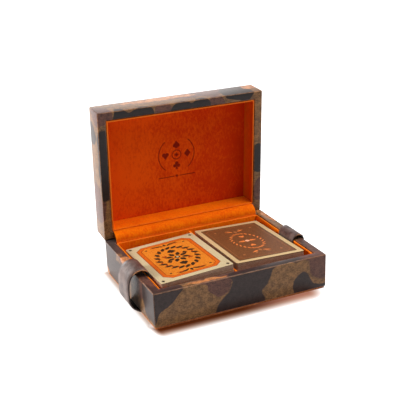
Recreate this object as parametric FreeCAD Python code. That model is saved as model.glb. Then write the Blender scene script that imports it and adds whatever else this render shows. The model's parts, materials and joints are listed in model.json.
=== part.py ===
"""Two-deck playing card box: hinged lid, suede-lined wells and leather pull straps.

Millimetres, +Z up.  The origin is the centre of the base's footprint on the table.
The front faces -Y.  The lid is built shut, then turned back about the hinge axis,
so every piece is written out where it lies with the lid standing open.
"""
import FreeCAD
import Part
import math
import os

from FreeCAD import Vector

# ---- playing cards ----
card_width = 63.5
card_length = 88.9
card_corner = 1.5
card_thickness = 0.31
deck_height = 16.5

# ---- skins and boards ----
leather = 1.2              # cover leather
wall_board = 5.0           # side boards, base and lid
bottom_board = 5.5
lid_board = 2.2
turn_in = 8.0              # leather folded over an edge and glued inside or below
liner = 1.2                # suede-covered card that lines the walls
liner_gap = 0.5            # between the leather turn-in and a liner
liner_drop = 0.8           # a base liner stands this far below the rim
front_liner_drop = 1.8     # the one in front stands lower
lid_liner_drop = 0.3
floor_panel = 2.0          # suede-covered floor of the wells
lid_panel = 1.1            # suede-covered panel inside the lid
underside_inset = 0.8      # suede panel under the base, set in from its edge

# ---- wells ----
divider = 2.0
divider_drop = 3.0         # divider top below the rim
deck_play = 2.9            # width left in a well beside a deck and its strap
well_end_room = 10.9       # length left in a well
deck_head_room = 4.5       # well depth beyond a deck's height
lid_depth = 17.5           # rim of the lid to the panel inside it

# ---- edges ----
corner_round = 1.0
rim_ease = 0.7             # bevel along the rims
lid_top_round = 0.9
liner_round = 0.4

# ---- pull straps ----
strap_width = 24.0
strap_thickness = 1.5
strap_anchor = 9.0         # end glued under the base, in a notch of the underside panel
strap_lap = 12.0           # end folded back under the strap beside the divider
strap_fit = 0.3            # round the strap's end in its notch
strap_play = 0.1           # between the strap and the liner it hangs in front of
well_turn = 2.2            # along the floor of the well
fold_turn = 0.45           # share of the fold's height taken by each of its bends

# Each strap: its middle from the front of the base, how far its middle line runs out under the
# wall, how far the loop stands out from the wall and arches over the rim, the height at which
# it has swung out, and its middle line's radii at the base, below the loop, over the rim and
# down into the well.
slack_strap = dict(centre=45.0, run=0.75, bulge=9.4, arch=7.0, slack=7.2,
                   foot=2.5, belly=11.0, over=11.2, into=7.0)
snug_strap = dict(centre=51.0, run=1.2, bulge=2.0, arch=4.8, slack=2.9,
                  foot=1.2, belly=3.0, over=5.6, into=5.4)

# ---- hinges ----
seam = 0.8                 # between the two rims when the lid is shut
lid_open = 86.45           # degrees from shut to the hinge's stop
hinge_inset = 0.3          # axis in from the back face
hinge_from_side = 30.0     # from the side of the box to the middle of a hinge
leaf_length = 26.0
leaf_width = 5.6
leaf_split = 0.05          # each leaf stops this far from the plane of the axis
knuckle_radius = 1.75
knuckle_count = 3
knuckle_gap = 0.1
pin_radius = 0.8
pin_clearance = 0.05
tail_reach = 4.6           # mitred stop tail behind the knuckles
tail_height = 4.8
tail_bevel = 1.0
stop_gap = 0.03
notch_clearance = 0.25
screw_radius = 0.9
screw_head_radius = 1.5
screw_length = 6.0
screw_spacing = 16.0
screw_clearance = 0.05
hinge_cover = 0.4          # suede strip over the hinges

# ---- how the decks lie: tilts in degrees, gaps in mm ----
left_deck = dict(side=-1, front_up=3.6, inner_up=3.3, turn=-0.5, rest=0.3, front=0.6, inner=0.3)
right_deck = dict(side=1, front_up=2.6, inner_up=1.75, turn=-0.6, rest=0.85, front=4.6, inner=0.3)
fold_clearance = 0.3       # between a strap's fold and the deck over it

# ---- sizes that follow ----
wall = wall_board + 2 * leather
underside = strap_thickness
well_width = card_width + strap_thickness + deck_play
well_length = card_length + well_end_room
well_depth = deck_height + deck_head_room
lined_wall = wall + liner_gap + liner
box_width = 2 * (lined_wall + well_width) + divider
box_depth = 2 * lined_wall + well_length
base_height = leather + bottom_board + floor_panel + well_depth
lid_height = leather + lid_board + lid_panel + lid_depth

half_width = box_width / 2
half_depth = box_depth / 2
rim_z = underside + base_height
floor_z = rim_z - well_depth
lid_z = rim_z + seam
lid_top_z = lid_z + lid_height
hinge_x = half_width - hinge_from_side
hinge_y = half_depth - hinge_inset
hinge_z = rim_z + seam / 2
hinge_axis = Vector(0, hinge_y, hinge_z)
leaf_thickness = leather + seam / 2 - leaf_split
screw_y = hinge_y - (knuckle_radius + notch_clearance + leaf_width) / 2


# ---- helpers ----
def block(x0, x1, y0, y1, z0, z1):
    return Part.makeBox(x1 - x0, y1 - y0, z1 - z0, Vector(x0, y0, z0))


def footprint(inset, z0, z1):
    """A block over the whole plan of the box, set in from its outside."""
    across = half_width - inset
    along = half_depth - inset
    return block(-across, across, -along, along, z0, z1)


def x_cylinder(radius, x0, x1):
    """A cylinder on the hinge axis."""
    return Part.makeCylinder(radius, x1 - x0, Vector(x0, hinge_y, hinge_z), Vector(1, 0, 0))


def fuse(shapes):
    joined = shapes[0]
    for shape in shapes[1:]:
        joined = joined.fuse(shape)
    return joined.removeSplitter()


def cut(shape, tools):
    for tool in tools:
        shape = shape.cut(tool)
    return shape


def picked(shape, wanted):
    """The edges whose middle point and direction pass the test."""
    return [e for e in shape.Edges if wanted(e.CenterOfMass, e.tangentAt(e.FirstParameter))]


def round_edges(shape, radius, wanted):
    return shape.makeFillet(radius, picked(shape, wanted))


def bevel_edges(shape, width, wanted):
    return shape.makeChamfer(width, picked(shape, wanted))


def upright(point, direction):
    return abs(direction.z) > 0.99


def opened(shape):
    """Turns a piece of the shut lid back about the hinge axis."""
    turned = shape.copy()
    turned.rotate(hinge_axis, Vector(1, 0, 0), -lid_open)
    return turned


def opened_point(y, z):
    """Where a point of the shut lid lies with the lid open, as (y, z)."""
    angle = math.radians(-lid_open)
    dy = y - hinge_y
    dz = z - hinge_z
    return (hinge_y + dy * math.cos(angle) - dz * math.sin(angle),
            hinge_z + dy * math.sin(angle) + dz * math.cos(angle))


def rounded_path(corners, radii):
    """Straight runs joined by tangent arcs; corners are Vectors, radii are for the inner ones."""
    edges = []
    start = corners[0]
    for before, corner, after, radius in zip(corners, corners[1:], corners[2:], radii):
        into = (corner - before).normalize()
        out = (after - corner).normalize()
        half_turn = into.getAngle(out) / 2
        setback = radius * math.tan(half_turn)
        first = corner - into * setback
        last = corner + out * setback
        bisector = (out - into).normalize()
        middle = corner + bisector * (radius / math.cos(half_turn) - radius)
        if (first - start).Length > 1e-6:
            edges.append(Part.LineSegment(start, first).toShape())
        edges.append(Part.Arc(first, middle, last).toShape())
        start = last
    edges.append(Part.LineSegment(start, corners[-1]).toShape())
    return Part.Wire(edges)


def ribbon(corners, radii, thickness, across):
    """A flat strip of even thickness along a rounded path; across is its width as a Vector."""
    path = rounded_path(corners, radii)
    along = (corners[1] - corners[0]).normalize()
    normal = along.cross(across).normalize() * (thickness / 2)
    start = corners[0] - across / 2
    outline = [start + normal, start + across + normal, start + across - normal, start - normal]
    profile = Part.makePolygon(outline + outline[:1])
    return path.makePipeShell([profile], True, True)


def write(name, shape):
    shape.exportStep("parts/" + name + ".step")


# ---- boards, leather and linings: the same pieces in base and lid ----
def wall_boards(z0, z1):
    """Front and back boards run the full width; the side boards stand between them."""
    across = half_width - leather
    along = half_depth - leather
    return {
        "front": block(-across, across, -along, wall_board - along, z0, z1),
        "back": block(-across, across, along - wall_board, along, z0, z1),
        "left": block(-across, wall_board - across, wall_board - along, along - wall_board, z0, z1),
        "right": block(across - wall_board, across, wall_board - along, along - wall_board, z0, z1),
    }


def wall_liners(z0, z1):
    """Four suede-covered cards round a hollow, each rounded along its free edge."""
    across = half_width - lined_wall
    along = half_depth - lined_wall
    return {
        "front": block(-across - liner, across + liner, -along - liner, -along, z0, z1),
        "back": block(-across - liner, across + liner, along, along + liner, z0, z1),
        "left": block(-across - liner, -across, -along, along, z0, z1),
        "right": block(across, across + liner, -along, along, z0, z1),
    }


def round_free_edge(liners, edge_z):
    def on_free_edge(point, direction):
        return abs(point.z - edge_z) < 1e-6
    return {side: round_edges(shape, liner_round, on_free_edge) for side, shape in liners.items()}


def base_cover():
    """Leather over the outside, the rim and a turn-in inside and below."""
    skin = round_edges(footprint(0, underside, rim_z), corner_round, upright)

    def on_rim(point, direction):
        return abs(point.z - rim_z) < 1e-6
    skin = bevel_edges(skin, rim_ease, on_rim)
    board_ring = footprint(leather, underside + leather, rim_z - leather)
    board_ring = board_ring.cut(footprint(wall - leather, underside, rim_z))
    return cut(skin, [
        board_ring,
        footprint(wall, underside + leather, rim_z + leather),
        footprint(wall - leather, underside + leather, rim_z - turn_in),
        footprint(turn_in, underside - leather, underside + leather),
    ])


def lid_cover():
    """One leather skin over the top, the sides and the rim, turned in inside the rim."""
    skin = round_edges(footprint(0, lid_z, lid_top_z), corner_round, upright)

    def on_top(point, direction):
        return abs(point.z - lid_top_z) < 1e-6

    def on_rim(point, direction):
        return abs(point.z - lid_z) < 1e-6
    skin = round_edges(skin, lid_top_round, on_top)
    skin = bevel_edges(skin, rim_ease, on_rim)
    wall_top = lid_top_z - leather - lid_board
    board_ring = footprint(leather, lid_z + leather, wall_top)
    board_ring = board_ring.cut(footprint(wall - leather, lid_z, lid_top_z))
    return cut(skin, [
        board_ring,
        footprint(leather, wall_top, lid_top_z - leather),
        footprint(wall, lid_z - leather, lid_z + turn_in),
        footprint(wall - leather, lid_z + turn_in, wall_top),
    ])


# ---- hinges: two mitred stop hinges, written for one at x = 0 and copied ----
def knuckle_spans(first):
    """X ranges of every second knuckle, starting at the given one."""
    pitch = leaf_length / knuckle_count
    starts = [i * pitch - leaf_length / 2 for i in range(first, knuckle_count, 2)]
    return [(x + knuckle_gap / 2, x + pitch - knuckle_gap / 2) for x in starts]


def stop_tail(sign):
    """Wedge behind the knuckles whose mitred face meets the other leaf's with the lid open."""
    half_angle = math.radians(lid_open / 2)
    setback = stop_gap / math.cos(half_angle)
    inner = hinge_inset + leaf_split
    outer = tail_reach * math.cos(half_angle)
    points = [(inner, inner * math.tan(half_angle) + setback),
              (outer, outer * math.tan(half_angle) + setback),
              (outer, tail_height - tail_bevel),
              (outer - tail_bevel, tail_height),
              (inner, tail_height)]
    corners = [Vector(-leaf_length / 2, hinge_y + y, hinge_z + sign * z) for y, z in points]
    face = Part.Face(Part.makePolygon(corners + corners[:1]))
    return face.extrude(Vector(leaf_length, 0, 0))


def screw_places():
    return [Vector(side * screw_spacing / 2, screw_y, hinge_z) for side in (-1, 1)]


def screw(place, sign, clearance):
    """Countersunk wood screw driven away from the plane of the axis."""
    down = Vector(0, 0, sign)
    top = place + down * leaf_split
    head = Part.makeCone(screw_head_radius + clearance, screw_radius + clearance,
                         screw_head_radius - screw_radius, top, down)
    shank = Part.makeCylinder(screw_radius + clearance, screw_length, top, down)
    return fuse([head, shank])


def hinge_leaf(sign, first_knuckle):
    """Leaf, knuckles and stop tail in one; sign is -1 for the base and +1 for the lid."""
    near = hinge_z + sign * leaf_split
    far = hinge_z + sign * (leaf_split + leaf_thickness)
    plate = block(-leaf_length / 2, leaf_length / 2, hinge_y - leaf_width, hinge_y,
                  min(near, far), max(near, far))
    body = plate.fuse(stop_tail(sign))
    own = knuckle_spans(first_knuckle)
    other = knuckle_spans(1 - first_knuckle)
    for x0, x1 in other:
        body = body.cut(x_cylinder(knuckle_radius + notch_clearance, x0 - knuckle_gap, x1 + knuckle_gap))
    body = fuse([body] + [x_cylinder(knuckle_radius, x0, x1) for x0, x1 in own])
    bore = x_cylinder(pin_radius + pin_clearance, -leaf_length, leaf_length)
    return cut(body, [bore] + [screw(place, sign, screw_clearance) for place in screw_places()])


def hinge_pin():
    return x_cylinder(pin_radius, -leaf_length / 2, leaf_length / 2)


def hinge_room():
    """Window in the leather of the rim, down to the board, for one hinge."""
    end = leaf_length / 2 + notch_clearance
    depth = leaf_split + leaf_thickness
    knuckles = x_cylinder(knuckle_radius + notch_clearance, -end, end)
    leaf = block(-end, end, hinge_y - leaf_width - notch_clearance, hinge_y + knuckle_radius,
                 hinge_z - depth, hinge_z + depth)
    return fuse([knuckles, leaf])


def at_hinges(shape):
    """The same shape at the left and the right hinge."""
    copies = []
    for side in (-1, 1):
        copy = shape.copy()
        copy.translate(Vector(side * hinge_x, 0, 0))
        copies.append(copy)
    return copies


def cut_for_hinges(shape):
    return cut(shape, at_hinges(hinge_room()))


def drilled_for_hinges(board, sign):
    """A back board with the hinges' knuckle room and the screws' holes."""
    for place in screw_places():
        board = cut(board, at_hinges(screw(place, sign, screw_clearance)))
    return cut_for_hinges(board)


def hinge_cover_strip():
    """Suede strip tucked behind both back liners, bulging over the hinges."""
    behind = half_depth - wall - liner_gap / 2
    lid_edge = opened_point(behind, lid_z)
    lid_end = opened_point(behind, lid_z + turn_in / 2)
    crest = opened_point(behind, lid_z - (lid_edge[0] - behind) / math.sin(math.radians(lid_open)))
    corners = [Vector(0, y, z) for y, z in ((behind, rim_z - turn_in / 2), crest, lid_end)]
    across = Vector(2 * (half_width - wall - liner_gap), 0, 0)
    return ribbon(corners, [wall * 0.9], hinge_cover, across)


# ---- wells, decks and pull straps ----
def tray_divider():
    along = half_depth - lined_wall
    plate = block(-divider / 2, divider / 2, -along, along, floor_z, rim_z - divider_drop)

    def on_top(point, direction):
        return abs(point.z - rim_z + divider_drop) < 1e-6 and abs(direction.y) > 0.99
    return round_edges(plate, liner_round, on_top)


def laid(shape, lie):
    """Tilts, turns and drops a stack so that it lies in its well as lie says."""
    placed = shape.copy()
    placed.rotate(Vector(0, 0, 0), Vector(1, 0, 0), -lie["front_up"])
    placed.rotate(Vector(0, 0, 0), Vector(0, 1, 0), lie["side"] * lie["inner_up"])
    placed.rotate(Vector(0, 0, 0), Vector(0, 0, 1), lie["turn"])
    return placed


def card_block(z0, z1):
    across = card_width / 2
    along = card_length / 2
    return round_edges(block(-across, across, -along, along, z0, z1), card_corner, upright)


def deck(lie):
    """The cards under the top one, and the top card, in their place in the well."""
    whole = laid(card_block(0, deck_height), lie).BoundBox
    inner_face = lie["side"] * (divider / 2 + lie["inner"])
    near_side = whole.XMax if lie["side"] < 0 else whole.XMin
    move = Vector(inner_face - near_side,
                  lined_wall - half_depth + lie["front"] - whole.YMin,
                  floor_z + lie["rest"] - whole.ZMin)
    top_card_z = deck_height - card_thickness
    pieces = [laid(card_block(0, top_card_z), lie), laid(card_block(top_card_z, deck_height), lie)]
    for piece in pieces:
        piece.translate(move)
    return pieces


def height_under_deck(stack, x, y):
    """Height of a deck's underside over the well floor at a point of the plan."""
    probe = Part.makeLine(Vector(x, y, floor_z - 1), Vector(x, y, rim_z + deck_height))
    return probe.common(stack).BoundBox.ZMin - floor_z


def pull_strap(side, stack, loop):
    """Strap glued under the base, looping out and over the rim, and slung under its deck."""
    half = strap_thickness / 2
    outside = half - loop["bulge"]
    strap_y = loop["centre"] - half_depth
    inside = lined_wall + strap_play + half
    fold = lined_wall + well_width - strap_thickness
    fold_x = side * (half_width - fold)
    fold_top = height_under_deck(stack, fold_x, strap_y + strap_width / 2) - fold_clearance
    low = floor_z + half
    high = floor_z + fold_top - half
    crown = rim_z + loop["arch"] - half
    fold_bend = (high - low) * fold_turn
    places = [(strap_anchor, half), (-loop["run"], half), (outside, loop["slack"]), (outside, crown),
              (inside, crown), (inside, low), (fold, high), (fold, low), (fold - strap_lap, low)]
    radii = [loop[bend] for bend in ("foot", "belly", "over", "into")] + [well_turn, fold_bend, fold_bend]
    corners = [Vector(-half_width + inward, strap_y, z) for inward, z in places]
    strap = ribbon(corners, radii, strap_thickness, Vector(0, strap_width, 0))
    if side > 0:
        strap = strap.mirror(Vector(0, 0, 0), Vector(1, 0, 0))
    return strap


def underside_panel():
    """Suede-covered panel under the base, notched for the ends of the straps."""
    panel = round_edges(footprint(underside_inset, 0, underside), corner_round, upright)
    inner = half_width - strap_anchor - strap_fit
    across = strap_width / 2 + strap_fit
    left_y = slack_strap["centre"] - half_depth
    right_y = snug_strap["centre"] - half_depth
    return cut(panel, [
        block(-half_width, -inner, left_y - across, left_y + across, 0, underside),
        block(inner, half_width, right_y - across, right_y + across, 0, underside),
    ])


# ---- write every piece ----
os.makedirs("parts", exist_ok=True)

base_boards = wall_boards(underside + leather, rim_z - leather)
base_boards["back"] = drilled_for_hinges(base_boards["back"], -1)
for side, shape in base_boards.items():
    write("base_" + side + "_board", shape)
board_z = underside + leather
write("base_bottom_board", footprint(wall - leather, board_z, board_z + bottom_board))
write("base_leather_cover", cut_for_hinges(base_cover()))
write("underside_panel", underside_panel())

write("well_floor_panel", footprint(wall - leather, floor_z - floor_panel, floor_z))
base_liners = round_free_edge(wall_liners(floor_z, rim_z - liner_drop), rim_z - liner_drop)
low_liners = round_free_edge(wall_liners(floor_z, rim_z - front_liner_drop), rim_z - front_liner_drop)
base_liners["front"] = low_liners["front"]
for side, shape in base_liners.items():
    write("base_" + side + "_liner", shape)
write("well_divider", tray_divider())

left_stack, left_top = deck(left_deck)
right_stack, right_top = deck(right_deck)
write("deck_left_cards", left_stack)
write("deck_left_top_card", left_top)
write("deck_right_cards", right_stack)
write("deck_right_top_card", right_top)
write("pull_strap_left", pull_strap(-1, left_stack, slack_strap))
write("pull_strap_right", pull_strap(1, right_stack, snug_strap))

lid_boards = wall_boards(lid_z + leather, lid_top_z - leather - lid_board)
lid_boards["back"] = drilled_for_hinges(lid_boards["back"], 1)
for side, shape in lid_boards.items():
    write("lid_" + side + "_board", opened(shape))
write("lid_top_board", opened(footprint(leather, lid_top_z - leather - lid_board, lid_top_z - leather)))
write("lid_leather_cover", opened(cut_for_hinges(lid_cover())))
panel_z = lid_z + lid_depth
write("lid_top_liner", opened(footprint(wall - leather, panel_z, panel_z + lid_panel)))
lid_liners = round_free_edge(wall_liners(lid_z + lid_liner_drop, panel_z), lid_z + lid_liner_drop)
for side, shape in lid_liners.items():
    write("lid_" + side + "_liner", opened(shape))

sides = ("left", "right")
for side, shape in zip(sides, at_hinges(hinge_leaf(-1, 0))):
    write("hinge_" + side + "_base_leaf", shape)
for side, shape in zip(sides, at_hinges(hinge_leaf(1, 1))):
    write("hinge_" + side + "_lid_leaf", opened(shape))
for side, shape in zip(sides, at_hinges(hinge_pin())):
    write("hinge_" + side + "_pin", shape)
base_screws = [copy for place in screw_places() for copy in at_hinges(screw(place, -1, 0))]
lid_screws = [copy for place in screw_places() for copy in at_hinges(screw(place, 1, 0))]
write("hinge_base_screws", Part.makeCompound(base_screws))
write("hinge_lid_screws", opened(Part.makeCompound(lid_screws)))
write("hinge_cover_strip", hinge_cover_strip())
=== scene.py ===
import json
from math import atan2, copysign, cos, degrees, dist, hypot, pi, radians, sin
import random

import bmesh
import bpy
import numpy as np
from mathutils import Matrix, Vector, geometry, noise


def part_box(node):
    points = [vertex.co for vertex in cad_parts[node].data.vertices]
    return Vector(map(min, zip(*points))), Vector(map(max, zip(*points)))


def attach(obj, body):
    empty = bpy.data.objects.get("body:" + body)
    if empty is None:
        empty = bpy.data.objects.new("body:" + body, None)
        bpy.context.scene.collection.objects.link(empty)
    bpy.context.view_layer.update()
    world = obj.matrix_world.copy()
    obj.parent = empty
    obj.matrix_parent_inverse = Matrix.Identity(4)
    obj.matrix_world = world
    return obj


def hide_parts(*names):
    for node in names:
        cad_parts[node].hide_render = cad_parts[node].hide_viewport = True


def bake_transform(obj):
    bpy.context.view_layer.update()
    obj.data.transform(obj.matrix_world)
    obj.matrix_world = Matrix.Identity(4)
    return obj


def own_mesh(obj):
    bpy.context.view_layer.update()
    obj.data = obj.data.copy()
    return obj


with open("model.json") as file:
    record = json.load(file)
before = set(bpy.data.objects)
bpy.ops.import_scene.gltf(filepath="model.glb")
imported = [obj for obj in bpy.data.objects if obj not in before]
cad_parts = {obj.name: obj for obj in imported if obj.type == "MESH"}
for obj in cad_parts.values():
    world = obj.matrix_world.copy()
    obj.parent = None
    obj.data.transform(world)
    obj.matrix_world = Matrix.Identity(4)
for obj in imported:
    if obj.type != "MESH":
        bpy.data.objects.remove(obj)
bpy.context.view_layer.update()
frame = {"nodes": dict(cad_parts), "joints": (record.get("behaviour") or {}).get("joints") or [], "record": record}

mm = 0.001


def limits(node):
    """Lowest and highest corner of a CAD node in millimetres."""
    low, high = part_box(node)
    return np.array(low) / mm, np.array(high) / mm


# ---- sizes read from the frame ----
cover_low, cover_high = limits("base_leather_cover")
half_x, half_y, rim_z = cover_high
underside_z = cover_low[2]
floor_z = limits("well_floor_panel")[1][2]
side_liner_low, side_liner_high = limits("base_right_liner")
liner = side_liner_high[0] - side_liner_low[0]
axis_place = np.array(frame["joints"][0]["pos_m"]) / mm

# ---- sizes of the skins ----
leather = 1.2
wall = 7.4
turn_in = 8.0
seam = 0.8
lid_open = radians(86.45)
lid_height = 22.0
lid_board = 2.2
lid_depth = 17.5
lid_panel = 1.1
lid_z = rim_z + seam
lid_top_z = lid_z + lid_height
rim_round = 0.9
rim_crown = 0.12  # how much a rim is raised between its edges
rear_round = 0.15
rear_crest = 0.2
corner_round = 1.0
corner_steps = 10
sharp_edge = 38  # degrees between faces
lid_top_round = 0.9
lid_top_border = 3.0
liner_gap = 0.5
lid_liner_drop = 0.3
lined_wall = wall + liner_gap + liner
board_ease = 0.35
# wear and painted highlight beside the upright corner seams
corner_wear = 0.9
grain_depth = 0.05
patch_sway = 9.0
patch_slope = 9.0  # how fast a scattered patch's field falls at its edge
patch_edge = 0.09
groove_depth = 0.16  # of the seams at the upright corners
crest_pitch = 0.4
crest_depth = 0.4
crest_slope = 0.5
crest_rise = 3.0
crest_scale = 1.2
crest_reach_x = 21.5
crest_reach_y = 26.0
roll_reach = 69.4
roll_end = 1.4
roll_thickness = 0.8
lid_end_y = 62.5
lid_end_z = 39.2
card_width = 63.5
card_length = 88.9
card_corner = 1.5
card_thickness = 0.31
deck_height = 16.5
stack_inset = 0.12
card_gap = 0.012
top_card_gap = 0.01
well_width = 67.9
strap_width = 24.0
strap_thickness = 1.5
strap_edge_round = 0.28
strap_gap = 0.3  # between a strap's fold and its deck
# middle lines of the straps from under the base to inside its rim, as (inset, z)
slack_route = [(9.0, 0.75), (5.0, 0.75), (1.0, 0.95), (-2.6, 2.9), (-6.0, 5.9), (-8.2, 10.6),
               (-8.65, 16.0), (-8.6, 22.0), (-7.9, 28.0), (-5.8, 32.9), (-2.0, 36.3), (2.6, 37.4),
               (6.6, 36.2), (9.1, 33.4), (9.9, 29.5)]
snug_route = [(9.0, 0.75), (5.0, 0.75), (1.2, 0.75), (-0.6, 1.2), (-1.2, 3.0), (-1.3, 8.0),
              (-1.3, 16.0), (-1.25, 24.0), (-1.1, 30.0), (0.4, 33.5), (3.4, 35.2), (6.4, 34.7),
              (9.0, 32.4), (9.9, 29.0)]
left_deck = dict(body="deck_left", side=-1, front_up=3.6, inner_up=3.3, turn=-0.5,
                 route=slack_route, strap_y=45.0 - half_y)
right_deck = dict(body="deck_right", side=1, front_up=2.6, inner_up=1.75, turn=-0.6,
                  route=snug_route, strap_y=51.0 - half_y)
hinge_window = 26.5
window_depth = 5.0
window_past_wall = 3.0
window_past_rim = 4.0
window_overcut = 0.02
hinge_x = half_x - 30.0


# ---- colours, as they look under plain white light ----
def srgb(*levels):
    """Linear colour of an sRGB triple from 0 to 255."""
    shares = [level / 255 for level in levels]
    return (*[s / 12.92 if s <= 0.04045 else ((s + 0.055) / 1.055) ** 2.4 for s in shares], 1.0)


# ---- materials ----
class Field:
    """An output of a finish's nodes; arithmetic with it adds math nodes."""

    def __init__(self, finish, socket):
        self.finish = finish
        self.socket = socket

    def __add__(self, other):
        return self.finish.math("ADD", self, other)

    def __sub__(self, other):
        return self.finish.math("SUBTRACT", self, other)

    def __rsub__(self, other):
        return self.finish.math("SUBTRACT", other, self)

    def __mul__(self, other):
        return self.finish.math("MULTIPLY", self, other)


class Finish:
    """A node material or world; a call that adds a node gives back its output as a field."""

    def __init__(self, name, world=None):
        self.material = world or bpy.data.materials.new(name)
        self.material.use_nodes = True
        self.tree = self.material.node_tree
        self.surface = self.tree.nodes["Background" if world else "Principled BSDF"]
        self.where = self.add("TexCoord", output="Object")

    def add(self, kind, inputs=None, output=0, **settings):
        node = self.tree.nodes.new("ShaderNode" + kind)
        for key, value in settings.items():
            setattr(node, key, value)
        for key, value in (inputs or {}).items():
            self.feed(node.inputs[key], value)
        return Field(self, node.outputs[output])

    def feed(self, socket, value):
        if isinstance(value, Field):
            self.tree.links.new(value.socket, socket)
        else:
            socket.default_value = value

    def set(self, **inputs):
        """Feeds the surface, _ for spaces in the sockets' names, and gives back the material."""
        for key, value in inputs.items():
            self.feed(self.surface.inputs[key.replace("_", " ")], value)
        return self.material

    def math(self, operation, first, second=0.0):
        return self.add("Math", {0: first, 1: second}, operation=operation)

    def larger(self, first, second):
        return self.math("MAXIMUM", first, second)

    def vector(self, operation, first, second, output=0):
        return self.add("VectorMath", {0: first, 1: second}, output, operation=operation)

    def coordinate(self, axis):
        return self.add("SeparateXYZ", {0: self.where}, output=axis)

    def ray(self, kind):
        return self.add("LightPath", output=f"Is {kind} Ray")

    def spread(self, value, low, high):
        """0 below low, 1 above high, smooth between."""
        inputs = {"Value": value, "From Min": low, "From Max": high}
        return self.add("MapRange", inputs, interpolation_type="SMOOTHSTEP")

    def mix(self, share, first, second):
        return self.add("Mix", {0: share, 6: first, 7: second}, output=2, data_type="RGBA")

    def blotched(self, field, width, dark, light):
        """From dark to light as the field passes 0.5, within this width on either side."""
        return self.mix(self.spread(field, 0.5 - width, 0.5 + width), dark, light)

    def noise(self, size, detail, where=None, output="Fac"):
        """Noise of this size in millimetres; where is a field of places, or a factor by axis."""
        if isinstance(where, tuple):
            where = self.vector("MULTIPLY", self.where, where)
        inputs = {"Vector": where or self.where, "Scale": 1 / (size * mm), "Detail": detail}
        return self.add("TexNoise", inputs, output=output)

    def attribute(self, name):
        return self.add("Attribute", output="Fac", attribute_name=name)

    def bump(self, height, depth, strength=1.0):
        inputs = {"Height": height, "Distance": depth * mm, "Strength": strength}
        return self.add("Bump", inputs, output="Normal")


def grain(finish, size):
    """Pebbled leather grain with fine creases."""
    cells = finish.add("TexVoronoi", {"Vector": finish.where, "Scale": 1 / (size * mm)},
                       output="Distance", feature="SMOOTH_F1")
    return finish.bump(cells + finish.noise(size * 3, 5.0) * 0.8, grain_depth, 0.6)


def patches(finish, spots, where):
    """Field of the listed patches, above 1 inside them: one bell for each spot."""
    total = None
    for spot in spots:
        spot = [c * mm for c in spot]
        inputs = {"Vector": where, "Location": spot[:3], "Scale": spot[3:]}
        mapped = finish.add("Mapping", inputs, vector_type="TEXTURE")
        squared = finish.vector("DOT_PRODUCT", mapped, mapped, "Value")
        bell = finish.math("EXPONENT", 1.0 - squared)
        total = total + bell if total else bell
    return total


def camouflage_leather(name, spots, own_patch_from, darkest):
    """Printed leather: olive ground with purple-brown, charcoal and tan patches.

    spots are the listed patches; scattered ones begin behind y = own_patch_from.
    """
    finish = Finish(name)
    mix, spread, vector = finish.mix, finish.spread, finish.vector
    sway = vector("SUBTRACT", finish.noise(17, 1.5, output="Color"), (0.5, 0.5, 0.5))
    sway = finish.add("VectorMath", {0: sway, "Scale": patch_sway * mm}, operation="SCALE")
    swayed = vector("ADD", finish.where, sway)
    scattered = spread(finish.coordinate("Y"), own_patch_from * mm, (own_patch_from + 6) * mm)
    mottle = finish.noise(0.9, 3.0)
    fibres = finish.noise(0.8, 3.0, (0.25, 0.5, 1.6))
    cloud = finish.noise(4.5, 3.0)
    texture = mottle * 0.35 + (fibres * 0.3 + cloud * 0.35)
    shade = spread(texture, 0.4, 0.6)
    colour = mix(shade, srgb(90, 62, 37), srgb(142, 101, 62))
    lighter = tuple(1.9 * c for c in darkest[:3]) + (1.0,)
    layers = [("purple_brown", srgb(70, 43, 36), srgb(104, 66, 54), 0.545, 31.0, (3.1, 7.7, 1.9)),
              ("charcoal", darkest, lighter, 0.535, 37.0, (8.3, 2.2, 5.1)),
              ("tan", srgb(140, 84, 46), srgb(208, 136, 80), 0.74, 26.0, (1.7, 4.9, 9.4))]
    for layer, dark, light, rarity, size, offset in layers:
        moved = vector("ADD", swayed, offset)
        field = (finish.noise(size, 0.6, moved) - rarity) * patch_slope
        field = field - (1.0 - scattered) * patch_slope
        field = finish.larger(field, patches(finish, spots[layer], swayed) - 1.0)
        mask = spread(field, -patch_edge, patch_edge)
        colour = mix(mask, colour, mix(shade, dark, light))
    # lighter tan on rounded edges and beside the corner seams: partly wear, partly a painted highlight
    worn_and_lit = finish.attribute("wear") * spread(texture, 0.3, 0.6)
    colour = mix(worn_and_lit * 0.7, colour, srgb(186, 130, 90))
    colour = mix(finish.attribute("seam") * 0.8, colour, srgb(30, 24, 26))
    roughness = finish.add("MapRange", {"Value": texture, "To Min": 0.28, "To Max": 0.42})
    pores = grain(finish, 0.55)
    return finish.set(Base_Color=colour, Roughness=roughness, Normal=pores, Coat_Normal=pores,
                      Specular_IOR_Level=0.0, Coat_Weight=1.0, Coat_IOR=1.29, Coat_Roughness=0.3,
                      Sheen_Weight=0.6, Sheen_Roughness=0.3, Sheen_Tint=srgb(238, 218, 208))


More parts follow.
